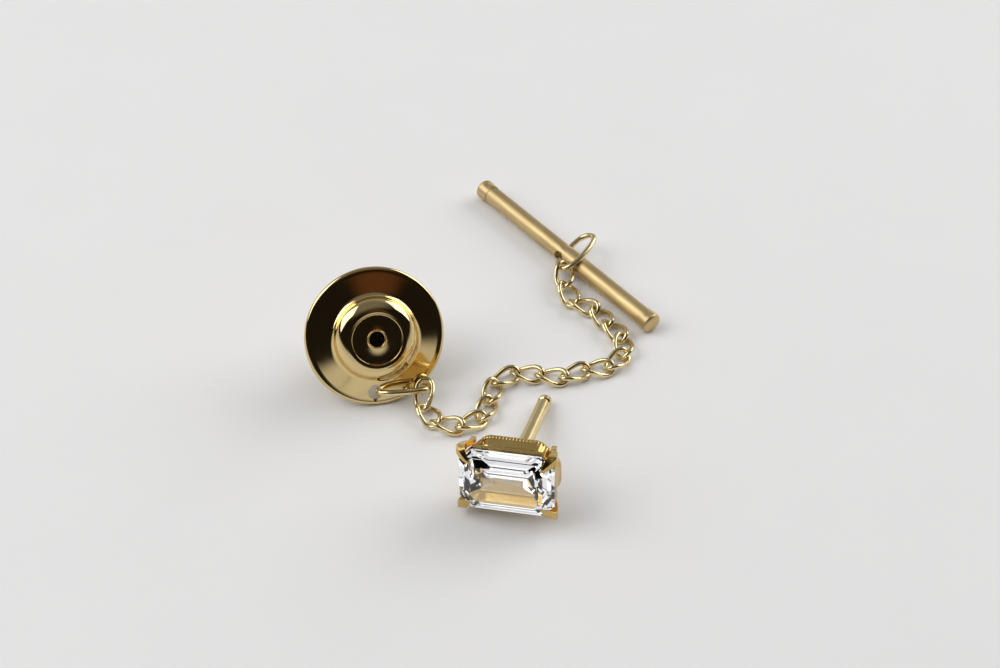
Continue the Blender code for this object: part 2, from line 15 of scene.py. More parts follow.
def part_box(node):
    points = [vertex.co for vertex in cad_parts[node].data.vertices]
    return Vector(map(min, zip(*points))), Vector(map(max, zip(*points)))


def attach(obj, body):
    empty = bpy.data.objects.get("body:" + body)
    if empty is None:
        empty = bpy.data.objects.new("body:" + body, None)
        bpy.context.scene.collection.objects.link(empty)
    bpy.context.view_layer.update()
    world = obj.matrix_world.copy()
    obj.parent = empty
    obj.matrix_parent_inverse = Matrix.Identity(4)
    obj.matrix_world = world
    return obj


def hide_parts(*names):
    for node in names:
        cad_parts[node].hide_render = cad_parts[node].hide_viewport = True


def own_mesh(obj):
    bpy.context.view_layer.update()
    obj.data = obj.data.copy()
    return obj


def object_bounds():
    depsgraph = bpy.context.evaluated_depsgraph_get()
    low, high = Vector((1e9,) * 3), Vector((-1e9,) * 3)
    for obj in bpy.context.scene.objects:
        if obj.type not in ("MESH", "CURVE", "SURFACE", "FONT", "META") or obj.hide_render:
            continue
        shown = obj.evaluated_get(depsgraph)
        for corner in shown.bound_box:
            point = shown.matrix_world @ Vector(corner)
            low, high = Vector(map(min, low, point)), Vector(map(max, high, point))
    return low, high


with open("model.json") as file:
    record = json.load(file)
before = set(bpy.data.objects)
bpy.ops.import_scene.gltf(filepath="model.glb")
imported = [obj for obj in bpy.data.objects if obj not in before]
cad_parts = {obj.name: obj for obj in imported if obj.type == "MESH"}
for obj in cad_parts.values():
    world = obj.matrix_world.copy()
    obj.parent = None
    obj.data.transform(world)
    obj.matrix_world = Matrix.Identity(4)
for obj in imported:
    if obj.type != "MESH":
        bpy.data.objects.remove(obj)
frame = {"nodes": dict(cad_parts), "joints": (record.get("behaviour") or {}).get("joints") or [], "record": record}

cad_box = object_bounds()
MM = 0.001
UP = Vector((0.0, 0.0, 1.0))

# Spun clutch cap and the pieces behind it.
rim_circle = 5.24 * MM
rim_bead = 0.26 * MM
brim_sheet = 0.34 * MM
brim_start = 0.24 * MM
brim_edge_height = 0.1 * MM
dome_crown_drop = 0.12 * MM
brim_rise = 0.45 * MM
dome_foot = 3.3 * MM
dome_height = 1.25 * MM
collar_radius = 2.12 * MM
collar_bore = 1.96 * MM
lip_round = 0.07 * MM
face_recess = 0.38 * MM
bore_radius = 0.61 * MM
eyelet_width = 0.17 * MM
eyelet_height = 0.1 * MM
brim_hole_radius = 0.6 * MM
brim_hole_place = 4.42 * MM
brim_hole_angle = math.radians(-97.5)
housing_radius = 3.1 * MM
housing_wall = 0.28 * MM
housing_front = -0.29 * MM
housing_back = -3.3 * MM
cover_thickness = 0.28 * MM
cover_clearance = 0.06 * MM
knob_radius = 2.95 * MM
knob_edge = 0.22 * MM
knob_front_edge = 0.12 * MM
knob_floor = 0.3 * MM
knob_front = -3.55 * MM
knob_back = -4.4 * MM
stem_radius = 0.95 * MM
spring_radius = 1.405 * MM
spring_wire = 0.1 * MM
spring_turns = 3
wire_facets = 14
spring_low = -2.89 * MM
spring_high = -1.55 * MM

# Wire of the chain links and of the two rings.
link_length = 2.9 * MM
link_width = 1.8 * MM
link_wire = 0.2 * MM
link_roundness = 2.6
link_twist = math.radians(45.0)
filed_height = 0.48 * MM
filed_side = 0.82 * MM
ring_length = 4.8 * MM
ring_width = 2.7 * MM
ring_wire = 0.24 * MM
ring_roundness = 2.4

# T-bar.
bar_length = 22.4 * MM
bar_radius = 0.76 * MM
bar_hole = 0.5 * MM
cap_radius = 0.85 * MM
cap_length = 1.0 * MM
cap_dome = 0.35 * MM

# Stone, setting and post.
stone_half_width = 3.6 * MM
stone_half_height = 2.5 * MM
stone_corner = 0.95 * MM
crown_height = 0.8 * MM
girdle_height = 0.14 * MM
pavilion_depth = 1.75 * MM
table_inset = 1.05 * MM
seat_gap = 0.03 * MM
tray_depth = 2.35 * MM
tray_rim = 1.45 * MM
tray_corner = 1.5 * MM
milled_edge = 0.36 * MM
milled_cuts = 80
tray_wall = 0.36 * MM
tray_floor = 0.3 * MM
rail_thickness = 0.34 * MM
rail_height = 0.4 * MM
claw_radius = 0.46 * MM
claw_reach = 1.15 * MM
claw_height = 0.66 * MM
foot_radius = 1.15 * MM
foot_height = 0.4 * MM
post_radius = 0.55 * MM
post_length = 10.2 * MM
groove_setback = 0.75 * MM
groove_width = 0.35 * MM
groove_depth = 0.12 * MM
tack_roll = math.radians(5.0)

# Table, camera and light.
table_radius = 1.2
table_thickness = 0.01
table_drop = 0.005 * MM
camera_height_angle = math.radians(44.0)
camera_distance = 0.163
camera_aim = Vector((1.085, 1.721, 0.0)) * MM
lens_mm = 72.0
sensor_mm = 36.0
nearest_seen = 0.005


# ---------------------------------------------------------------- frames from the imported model

joints = {joint["name"]: joint for joint in frame["joints"]}
mounts = {mount["name"]: mount for mount in frame["record"]["mounts"]}


def middle(node):
    low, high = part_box(node)
    return (low + high) / 2.0


def facing_frame(way, place, roll=0.0):
    """A frame with Z along a direction and X level, rolled about Z, at a place."""
    z_axis = way.normalized()
    x_axis = UP.cross(z_axis).normalized()
    y_axis = z_axis.cross(x_axis)
    matrix = Matrix((x_axis, y_axis, z_axis)).transposed().to_4x4()
    matrix.translation = place
    return matrix @ Matrix.Rotation(roll, 4, "Z")


def running_frame(start, end, place):
    """A frame with X from one point to another and Y level, at a place."""
    x_axis = (end - start).normalized()
    y_axis = UP.cross(x_axis).normalized()
    z_axis = x_axis.cross(y_axis)
    matrix = Matrix((x_axis, y_axis, z_axis)).transposed().to_4x4()
    matrix.translation = place
    return matrix


def lying_frame(node):
    """A frame on a node's own long, middle and short directions, at its middle."""
    cloud = numpy.array([vertex.co for vertex in frame["nodes"][node].data.vertices])
    centre = cloud.mean(axis=0)
    directions = numpy.linalg.svd(cloud - centre, full_matrices=False)[2]
    x_axis = Vector(directions[0])
    y_axis = Vector(directions[1])
    matrix = Matrix((x_axis, y_axis, x_axis.cross(y_axis))).transposed().to_4x4()
    matrix.translation = Vector(centre)
    return matrix


clutch_way = -Vector(joints["knob_pull"]["axis"])
clutch_frame = facing_frame(clutch_way, middle("clutch_cap"))
tack_way = -Vector(mounts["post_foot_back"]["axis"])
tack_place = middle("setting_tray") + tack_way * (tray_depth - tray_rim / 2.0)
tack_frame = facing_frame(tack_way, tack_place, tack_roll)
bar_frame = running_frame(middle("bar_cap_far"), middle("bar_cap_near"), middle("t_bar"))
link_names = ["link_%02d" % (index + 1) for index in range(18)]
hooks = [Vector(joints[name + "_hinge"]["pos_m"]) for name in link_names]
hooks.append(Vector(joints["bar_ring_hinge"]["pos_m"]))


# ---------------------------------------------------------------- materials

def colour(hex_code):
    """An sRGB hex colour as linear red, green, blue and alpha."""
    values = []
    for start in (0, 2, 4):
        share = int(hex_code[start:start + 2], 16) / 255.0
        values.append(share / 12.92 if share <= 0.04045 else ((share + 0.055) / 1.055) ** 2.4)
    return (*values, 1.0)


def node(tree, kind, settings=(), **links):
    """Adds a node; settings are (name, value) pairs for its own fields or sockets."""
    made = tree.nodes.new(kind)
    for name, value in settings:
        if isinstance(name, str) and hasattr(made, name):
            setattr(made, name, value)
        else:
            made.inputs[name].default_value = value
    for name, source in links.items():
        socket = made.inputs[int(name[3:]) if name.startswith("at_") else name.replace("_", " ")]
        tree.links.new(source, socket)
    return made


def blank_material(name):
    material = bpy.data.materials.new(name)
    material.use_nodes = True
    tree = material.node_tree
    shader = tree.nodes["Principled BSDF"]
    return material, tree, shader


def plated_gold(name, pale, deep, roughness, spread, grain_mm, scratch_depth):
    """Gold plate over polished brass: pale where rubbed, deeper in the low places of the plate."""
    material, tree, shader = blank_material(name)
    shader.inputs["Metallic"].default_value = 1.0
    place = node(tree, "ShaderNodeTexCoord").outputs["Object"]
    cloud = node(
        tree, "ShaderNodeTexNoise",
        [("Scale", 1.0 / (3.0 * MM)), ("Detail", 3.0), ("Roughness", 0.55)], Vector=place,
    )
    tint = node(tree, "ShaderNodeMix", [("data_type", "RGBA"), (6, colour(pale)), (7, colour(deep))])
    tree.links.new(cloud.outputs["Fac"], tint.inputs[0])
    tree.links.new(tint.outputs[2], shader.inputs["Base Color"])
    grain = node(
        tree, "ShaderNodeTexNoise",
        [("Scale", 1.0 / (grain_mm * MM)), ("Detail", 4.0), ("Roughness", 0.6)], Vector=place,
    )
    sheen = node(
        tree, "ShaderNodeMapRange",
        [("From Min", 0.3), ("From Max", 0.7), ("To Min", roughness), ("To Max", roughness + spread)],
        Value=grain.outputs["Fac"],
    )
    tree.links.new(sheen.outputs["Result"], shader.inputs["Roughness"])
    relief = node(
        tree, "ShaderNodeBump", [("Strength", 0.5), ("Distance", scratch_depth)],
        Height=grain.outputs["Fac"],
    )
    tree.links.new(relief.outputs["Normal"], shader.inputs["Normal"])
    return material, tree, shader


# Polished gold plate: a mirror with a warm tint, soft only where handling has dulled it.
polished_gold = plated_gold("polished_gold_plate", "EEDCAC", "E2CA90", 0.2, 0.08, 0.5, 0.0006 * MM)[0]

# Gold plate in the setting: deeper yellow, since each surface is lit by the gold beside it.
setting_gold = plated_gold("polished_gold_setting", "DBBF7C", "C29D55", 0.10, 0.08, 0.4, 0.0006 * MM)[0]

# Drawn and tumbled gold wire: bright, with a slight orange-peel from tumbling.
wire_gold = plated_gold("tumbled_gold_wire", "F2E2B8", "DEC88E", 0.17, 0.10, 0.25, 0.0012 * MM)[0]


def turned_gold():
    """Gold plate over a sheet polished as it spins: light smears across the fine rings of the wheel."""
    material, tree, shader = plated_gold(
        "spun_gold_plate", "E6D09B", "DABF84", 0.06, 0.03, 0.5, 0.0004 * MM)
    shader.inputs["Anisotropic"].default_value = 0.6
    place = node(tree, "ShaderNodeTexCoord").outputs["Object"]
    from_axis = node(
        tree, "ShaderNodeVectorMath", [("operation", "SUBTRACT"), (1, clutch_frame.translation)], at_0=place)
    around = node(
        tree, "ShaderNodeVectorMath", [("operation", "CROSS_PRODUCT"), (1, clutch_way)],
        at_0=from_axis.outputs["Vector"])
    wheel = node(
        tree, "ShaderNodeVectorTransform",
        [("vector_type", "VECTOR"), ("convert_from", "OBJECT"), ("convert_to", "WORLD")],
        Vector=around.outputs["Vector"])
    tree.links.new(wheel.outputs["Vector"], shader.inputs["Tangent"])
    return material


spun_gold = turned_gold()


def satin_gold():
    """Soft gold plate on a bar brushed along its length, with grain lines about 0.08 mm apart."""
    material, tree, shader = blank_material("satin_gold_plate")
    shader.inputs["Metallic"].default_value = 1.0
    shader.inputs["Anisotropic"].default_value = 0.5
    place = node(tree, "ShaderNodeTexCoord").outputs["Object"]
    stretch = node(
        tree, "ShaderNodeMapping",
        [("vector_type", "TEXTURE"), ("Rotation", bar_frame.to_euler()), ("Scale", (25.0, 1.0, 1.0))],
        Vector=place)
    lines = node(
        tree, "ShaderNodeTexNoise", [("Scale", 1.0 / (0.08 * MM)), ("Detail", 3.0)],
        Vector=stretch.outputs["Vector"],
    )
    cloud = node(tree, "ShaderNodeTexNoise", [("Scale", 1.0 / (2.5 * MM)), ("Detail", 2.0)], Vector=place)
    tint = node(tree, "ShaderNodeMix", [("data_type", "RGBA"), (6, colour("D8C190")), (7, colour("C4AB79"))])
    tree.links.new(cloud.outputs["Fac"], tint.inputs[0])
    tree.links.new(tint.outputs[2], shader.inputs["Base Color"])
    sheen = node(
        tree, "ShaderNodeMapRange",
        [("From Min", 0.3), ("From Max", 0.7), ("To Min", 0.38), ("To Max", 0.5)],
        Value=lines.outputs["Fac"],
    )
    tree.links.new(sheen.outputs["Result"], shader.inputs["Roughness"])
    relief = node(
        tree, "ShaderNodeBump", [("Strength", 0.4), ("Distance", 0.004 * MM)], Height=lines.outputs["Fac"])
    tree.links.new(relief.outputs["Normal"], shader.inputs["Normal"])
    return material


bar_gold = satin_gold()


def hardened_steel():
    """Tumbled hardened steel of the ball lock: grey, with a faint cloudy bloom from heat treatment."""
    material, tree, shader = blank_material("hardened_steel")
    shader.inputs["Metallic"].default_value = 1.0
    place = node(tree, "ShaderNodeTexCoord").outputs["Object"]
    cloud = node(tree, "ShaderNodeTexNoise", [("Scale", 1.0 / (0.8 * MM)), ("Detail", 3.0)], Vector=place)
    tint = node(tree, "ShaderNodeMix", [("data_type", "RGBA"), (6, colour("B9BABD")), (7, colour("94969B"))])
    tree.links.new(cloud.outputs["Fac"], tint.inputs[0])
    tree.links.new(tint.outputs[2], shader.inputs["Base Color"])
    sheen = node(
        tree, "ShaderNodeMapRange", [("To Min", 0.2), ("To Max", 0.34)], Value=cloud.outputs["Fac"])
    tree.links.new(sheen.outputs["Result"], shader.inputs["Roughness"])
    return material


steel = hardened_steel()


def clear_stone():
    """Colourless zircon, facets lapped to a mirror: mostly clear white, with thin grey step bands."""
    material, tree, shader = blank_material("clear_white_zircon")
    shader.inputs["Transmission Weight"].default_value = 1.0
    shader.inputs["IOR"].default_value = 1.93
    place = node(tree, "ShaderNodeTexCoord").outputs["Object"]
    lapping = node(tree, "ShaderNodeTexNoise", [("Scale", 1.0 / (0.6 * MM)), ("Detail", 2.0)], Vector=place)
    sheen = node(
        tree, "ShaderNodeMapRange", [("To Min", 0.0), ("To Max", 0.012)], Value=lapping.outputs["Fac"])
    tree.links.new(sheen.outputs["Result"], shader.inputs["Roughness"])
    tint = node(tree, "ShaderNodeMix", [("data_type", "RGBA"), (6, colour("FFFFFF")), (7, colour("F6F8FC"))])
    tree.links.new(lapping.outputs["Fac"], tint.inputs[0])
    tree.links.new(tint.outputs[2], shader.inputs["Base Color"])
    return material


zircon = clear_stone()


def painted_board():
    """Matt white table board: almost flat, with a faint roller texture."""
    material, tree, shader = blank_material("matt_white_board")
    place = node(tree, "ShaderNodeTexCoord").outputs["Object"]
    cloud = node(tree, "ShaderNodeTexNoise", [("Scale", 1.0 / (9.0 * MM)), ("Detail", 4.0)], Vector=place)
    tint = node(tree, "ShaderNodeMix", [("data_type", "RGBA"), (6, colour("F0F0F0")), (7, colour("EEEDED"))])
    tree.links.new(cloud.outputs["Fac"], tint.inputs[0])
    tree.links.new(tint.outputs[2], shader.inputs["Base Color"])
    shader.inputs["Roughness"].default_value = 0.65
    shader.inputs["Specular IOR Level"].default_value = 0.25
    return material


# ---------------------------------------------------------------- making pieces

def make_piece(name, points, faces, material, matrix, body, stands_for, sharp_degrees=35.0):
    """One closed piece set in place by its frame, turned to face outwards, riding on a body."""
    mesh = bpy.data.meshes.new(name)
    mesh.from_pydata([matrix @ Vector(point) for point in points], [], faces)
    sheet = bmesh.new()
    sheet.from_mesh(mesh)
    bmesh.ops.remove_doubles(sheet, verts=sheet.verts, dist=1e-8)
    bmesh.ops.recalc_face_normals(sheet, faces=sheet.faces)
    sheet.to_mesh(mesh)
    sheet.free()
    mesh.materials.append(material)
    mesh.shade_smooth()
    mesh.set_sharp_from_angle(angle=math.radians(sharp_degrees))
    piece = bpy.data.objects.new(name, mesh)
    bpy.context.scene.collection.objects.link(piece)
    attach(piece, body)
    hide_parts(*stands_for)
    return piece


def arc(centre, radius, start_degrees, end_degrees, steps):
    """Points of (radius, height) round an arc, both ends included."""
    points = []
    for step in range(steps + 1):
        angle = math.radians(start_degrees + (end_degrees - start_degrees) * step / steps)
        points.append((centre[0] + radius * math.cos(angle), centre[1] + radius * math.sin(angle)))
    return points


def spun(profile, segments):
    """Points and faces of a closed profile of (radius, height) spun about Z."""
    points = []
    rows = []
    for radius, height in profile:
        if radius == 0.0:
            rows.append([len(points)] * segments)
            points.append((0.0, 0.0, height))
            continue
        rows.append(list(range(len(points), len(points) + segments)))
        for step in range(segments):
            angle = 2.0 * math.pi * step / segments
            points.append((radius * math.cos(angle), radius * math.sin(angle), height))
    faces = []
    for index, row in enumerate(rows):
        after = rows[(index + 1) % len(rows)]
        for step in range(segments):
            follow = (step + 1) % segments
            corners = dict.fromkeys((row[step], row[follow], after[follow], after[step]))
            if len(corners) > 2:
                faces.append(list(corners))
    return points, faces


def lofted(rings, closed=False):
    """Points and faces through equal rings of points, capped unless closed."""
    points = [point for ring in rings for point in ring]
    count = len(rings[0])
    faces = []
    for span in range(len(rings) if closed else len(rings) - 1):
        start = span * count
        after = ((span + 1) % len(rings)) * count
        for step in range(count):
            follow = (step + 1) % count
            faces.append([start + step, start + follow, after + follow, after + step])
    if not closed:
        faces.append(list(range(count)))
        faces.append(list(range((len(rings) - 1) * count, len(rings) * count)))
    return points, faces


def drill(piece, radius, length, matrix, round_over):
    """Cut a round hole through the piece, along the Z of a frame, and soften its mouth."""
    half = length / 2.0
    points, faces = spun([(0.0, -half), (radius, -half), (radius, half), (0.0, half)], 48)
    mesh = bpy.data.meshes.new("drill")
    mesh.from_pydata(points, [], faces)
    cutter = bpy.data.objects.new("drill", mesh)
    bpy.context.scene.collection.objects.link(cutter)
    cutter.matrix_world = matrix
    cut = piece.modifiers.new("cut", "BOOLEAN")
    cut.solver = "EXACT"
    cut.object = cutter
    bpy.context.view_layer.update()
    shaped = bpy.data.meshes.new_from_object(piece.evaluated_get(bpy.context.evaluated_depsgraph_get()))
    piece.modifiers.clear()
    piece.data = shaped
    bpy.data.objects.remove(cutter)
    soften = piece.modifiers.new("soften", "BEVEL")
    soften.width = round_over
    soften.segments = 3
    soften.limit_method = "ANGLE"
    soften.angle_limit = math.radians(50.0)
    shaped.shade_smooth()
    shaped.set_sharp_from_angle(angle=math.radians(45.0))


# ---------------------------------------------------------------- clutch

def cap_surface(offset):
    """Outline of the brim and dome from the rim bead to the collar, at an offset."""
    corners = []
    steps = 24
    for step in range(steps):
        share = step / steps
        radius = (rim_circle - brim_start) * (1.0 - share) + dome_foot * share
        corners.append((radius, brim_edge_height + (brim_rise - brim_edge_height) * share + offset))
    for step in range(1, steps):
        angle = math.radians(90.0 * step / steps)
        radius = collar_radius + (dome_foot - collar_radius) * math.cos(angle)
        corners.append((radius, brim_rise + (dome_height - dome_crown_drop) * math.sin(angle) + offset))
    eased = []
    for index in range(len(corners)):
        reach = min(3, index, len(corners) - 1 - index)
        near = corners[index - reach:index + reach + 1]
        eased.append((sum(radius for radius, height in near) / len(near),
                      sum(height for radius, height in near) / len(near)))
    return eased


def make_clutch_cap():
    """Spun cap: rolled rim, cone brim, domed middle and a rounded collar lip."""
    top = brim_rise + dome_height
    profile = arc((rim_circle, 0.0), rim_bead, -150.0, 92.0, 20)
    profile += cap_surface(brim_sheet / 2.0)
    profile += arc((collar_radius - lip_round, top - lip_round), lip_round, 80.0, 90.0, 2)
    profile += arc((collar_bore + lip_round, top - lip_round), lip_round, 90.0, 180.0, 6)
    profile.append((collar_bore, top - face_recess - brim_sheet))
    profile += reversed(cap_surface(-brim_sheet / 2.0)[:-4])
    points, faces = spun(profile, 256)
    cap = make_piece(
        "spun_clutch_cap", points, faces, spun_gold, clutch_frame, "clutch_body",
        ["clutch_cap"])
    hole = Vector((math.cos(brim_hole_angle), math.sin(brim_hole_angle), 0.0)) * brim_hole_place
    drill(cap, brim_hole_radius, 3.0 * MM, clutch_frame @ Matrix.Translation(hole), 0.05 * MM)


def make_clutch_pieces():
    """Nose plate with its rolled eyelet, housing tube, rear cover and pull knob."""
    top = brim_rise + dome_height
    face = top - face_recess
    crest = eyelet_width / 2.0
    nose = [(bore_radius, face - brim_sheet), (collar_bore - seat_gap, face - brim_sheet)]
    nose += [(collar_bore - seat_gap, face), (bore_radius + eyelet_width + 0.08 * MM, face)]
    nose.append((bore_radius + eyelet_width, face + 0.02 * MM))
    nose += arc((bore_radius + crest, face + eyelet_height - crest * 0.9), crest * 0.9, 10.0, 170.0, 8)
    points, faces = spun(nose, 128)
    make_piece(
        "nose_plate_with_eyelet", points, faces, spun_gold, clutch_frame, "clutch_body",
        ["nose_plate"])
    inner = housing_radius - housing_wall
    edge = 0.06 * MM
    tube = [(inner, housing_front), (inner, housing_back)]
    tube += arc((housing_radius - edge, housing_back + edge), edge, -90.0, 0.0, 4)
    tube.append((housing_radius, housing_front))
    points, faces = spun(tube, 160)
    make_piece(
        "housing_tube", points, faces, spun_gold, clutch_frame, "clutch_body",
        ["housing"])
    cover_edge = inner - seat_gap
    cover_hole = stem_radius + cover_clearance
    cover = [(cover_hole, housing_back + cover_thickness), (cover_hole, housing_back)]
    cover += [(cover_edge, housing_back), (cover_edge, housing_back + cover_thickness)]
    points, faces = spun(cover, 128)
    make_piece(
        "rear_cover_disc", points, faces, spun_gold, clutch_frame, "clutch_body",
        ["rear_cover"])
    floor = knob_back + knob_floor
    socket = stem_radius + seat_gap
    knob = [(0.0, floor), (0.0, knob_back)]
    knob += arc((knob_radius - knob_edge, knob_back + knob_edge), knob_edge, -90.0, 0.0, 8)
    front = (knob_radius - knob_front_edge, knob_front - knob_front_edge)
    knob += arc(front, knob_front_edge, 0.0, 90.0, 5)
    knob += [(socket, knob_front), (socket, floor)]
    points, faces = spun(knob, 160)
    make_piece(
        "pull_knob_button", points, faces, spun_gold, clutch_frame, "pull_group",
        ["pull_knob"])


def make_spring():
    """Coil spring between the rear cover and the ball cage, built in one fixed shape, though the real spring
    flattens as the knob is pulled.
    """
    rings = []
    steps = 40 * spring_turns
    for step in range(steps + 1):
        angle = 2.0 * math.pi * spring_turns * step / steps
        height = spring_low + (spring_high - spring_low) * step / steps
        outward = Vector((math.cos(angle), math.sin(angle), 0.0))
        ring = []
        for side in range(wire_facets):
            turn = 2.0 * math.pi * side / wire_facets
            reach = spring_radius + spring_wire * math.cos(turn)
            ring.append(outward * reach + UP * (height + spring_wire * math.sin(turn)))
        rings.append(ring)
    points, faces = lofted(rings)
    spring = make_piece(
        "coil_spring", points, faces, steel, clutch_frame, "clutch_body",
        ["knob_spring"], 60.0)
    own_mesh(spring)


# ---------------------------------------------------------------- chain

def oval_line(length, width, wire, roundness, steps, twists):
    """Even points of a rounded oval of wire, twisted from one end to the other."""
    half_length = length / 2.0 - wire
    half_width = width / 2.0 - wire
    fine = []
    for step in range(steps * 20):
        angle = 2.0 * math.pi * step / (steps * 20)
        across = math.copysign(abs(math.cos(angle)) ** (2.0 / roundness), math.cos(angle))
        side = math.copysign(abs(math.sin(angle)) ** (2.0 / roundness), math.sin(angle))
        fine.append((half_length * across, half_width * side))
    fine.append(fine[0])
    walked = [0.0]
    for before, after in zip(fine, fine[1:]):
        walked.append(walked[-1] + math.dist(before, after))
    marks = numpy.linspace(0.0, walked[-1], steps, endpoint=False)
    along = numpy.interp(marks, walked, [point[0] for point in fine])
    side = numpy.interp(marks, walked, [point[1] for point in fine])
    points = []
    for x, y in zip(along, side):
        turn = twists[0] + (twists[1] - twists[0]) * (x / half_length + 1.0) / 2.0
        points.append(Vector((x, y * math.cos(turn), y * math.sin(turn))))
    return points


def wire_rings(line, wire, sides):
    """Rings of points round a closed line of wire."""
    rings = []
    count = len(line)
    for index, centre in enumerate(line):
        direction = (line[(index + 1) % count] - line[index - 1]).normalized()
        outward = centre - direction * centre.dot(direction)
        outward.normalize()
        binormal = direction.cross(outward)
        ring = []
        for side in range(sides):
            angle = 2.0 * math.pi * side / sides
            ring.append(centre + wire * (outward * math.cos(angle) + binormal * math.sin(angle)))
        rings.append(ring)
    return rings


def make_links():
    """Curb links, each twisted and filed flat on top, underneath and along both sides."""
    for index, name in enumerate(link_names):
        start = hooks[index]
        end = hooks[index + 1]
        matrix = running_frame(start, end, (start + end) / 2.0)
        twists = (0.0 if index == 0 else -link_twist, link_twist)
        line = oval_line(link_length, link_width, link_wire, link_roundness, 72, twists)
        rings = wire_rings(line, link_wire, 18)
        for ring in rings:
            for point in ring:
                point.z = max(-filed_height, min(filed_height, point.z))
                point.y = max(-filed_side, min(filed_side, point.y))
        points, faces = lofted(rings, True)
        make_piece(
            "curb_" + name, points, faces, wire_gold, matrix, name, [name], 28.0)


def make_rings():
    """The two jump rings of plain round wire."""
    for node_name in ("clutch_ring", "bar_ring"):
        line = oval_line(ring_length, ring_width, ring_wire, ring_roundness, 96, (0.0, 0.0))
        points, faces = lofted(wire_rings(line, ring_wire, 20), True)
        make_piece(
            "jump_" + node_name, points, faces, wire_gold, lying_frame(node_name), node_name,
            [node_name])


# ---------------------------------------------------------------- T-bar

def make_bar():
    """Brushed bar with a cross hole and a domed cap pressed on each end."""
    half = bar_length / 2.0 - cap_dome
    points, faces = spun([(0.0, half), (bar_radius, half), (bar_radius, -half), (0.0, -half)], 96)
    turned = Matrix.Rotation(math.pi / 2.0, 4, "Y")
    points = [turned @ Vector(point) for point in points]
    bar = make_piece(
        "brushed_t_bar", points, faces, bar_gold, bar_frame, "t_bar", ["t_bar"])
    drill(bar, bar_hole, 4.0 * MM, bar_frame @ Matrix.Rotation(math.pi / 2.0, 4, "X"), 0.05 * MM)
    inner = bar_radius + seat_gap
    end = half + seat_gap
    ends = (("near_bar_cap", "bar_cap_near", 1.0), ("far_bar_cap", "bar_cap_far", -1.0))
    for name, node_name, sign in ends:
        lip = 0.03 * MM
        profile = [(0.0, end), (inner, end), (inner, half - cap_length)]
        profile += [(inner + 0.01 * MM, half - cap_length), (cap_radius - lip, half - 0.5 * cap_length)]
        profile.append((cap_radius, half - 0.3 * cap_length))
        for step in range(13):
            angle = math.radians(90.0 * step / 12.0)
            profile.append((cap_radius * math.cos(angle), end + (cap_dome - seat_gap) * math.sin(angle)))
        profile[-1] = (0.0, bar_length / 2.0)
        points, faces = spun([(radius, sign * height) for radius, height in profile], 96)
        points = [turned @ Vector(point) for point in points]
        make_piece(name, points, faces, bar_gold, bar_frame, "t_bar", [node_name])


# ---------------------------------------------------------------- tack

def octagon(inset, height, corner=stone_corner):
    """The cut-corner outline of stone and setting, moved in by an inset, at a height."""
    half_x = stone_half_width - inset
    half_y = stone_half_height - inset
    cut = min(corner - inset * (2.0 - math.sqrt(2.0)), 0.6 * min(half_x, half_y))
    outline = []
    for x_sign, y_sign in ((1, 1), (-1, 1), (-1, -1), (1, -1)):
        pair = [(half_x, half_y - cut), (half_x - cut, half_y)]
        if x_sign * y_sign < 0:
            pair.reverse()
        outline += [Vector((x_sign * x, y_sign * y, height)) for x, y in pair]
    return outline


def make_stone():
    """Step-cut stone: two crown steps to the table and three pavilion steps to the keel."""
    half_girdle = girdle_height / 2.0
    rise = crown_height - half_girdle
    drop = pavilion_depth
    rings = [octagon(stone_half_height - 0.05 * MM, -drop)]
    rings.append(octagon(0.62 * stone_half_height, -0.78 * drop))
    rings.append(octagon(0.3 * stone_half_height, -0.42 * drop))
    rings.append(octagon(0.0, -half_girdle))
    rings.append(octagon(0.0, half_girdle))
    rings.append(octagon(0.45 * table_inset, half_girdle + 0.58 * rise))
    rings.append(octagon(table_inset, crown_height))
    points, faces = lofted(rings)
    make_piece(
        "step_cut_stone", points, faces, zircon, tack_frame, "tack", ["stone"], 3.0)


def soft_outline(inset, height, corner=stone_corner, nick=0.0):
    """The cut-corner outline with its corners rounded and, if asked, nicked all round like a milled edge."""
    corners = octagon(inset, height, corner)
    corners.append(corners[0])
    walked = [0.0]
    for before, after in zip(corners, corners[1:]):
        walked.append(walked[-1] + (after - before).length)
    count = milled_cuts * 6
    marks = numpy.linspace(0.0, walked[-1], count, endpoint=False)
    x_line = numpy.interp(marks, walked, [point.x for point in corners])
    y_line = numpy.interp(marks, walked, [point.y for point in corners])
    reach = 11
    outline = []
    for index in range(count):
        near = [(index + shift) % count for shift in range(-reach, reach + 1)]
        point = Vector((x_line[near].mean(), y_line[near].mean(), height))
        depth = nick * (0.5 - 0.5 * math.cos(2.0 * math.pi * index / 6.0))
        inward = Vector((-point.x, -point.y, 0.0)).normalized()
        outline.append(point + inward * depth)
    return outline


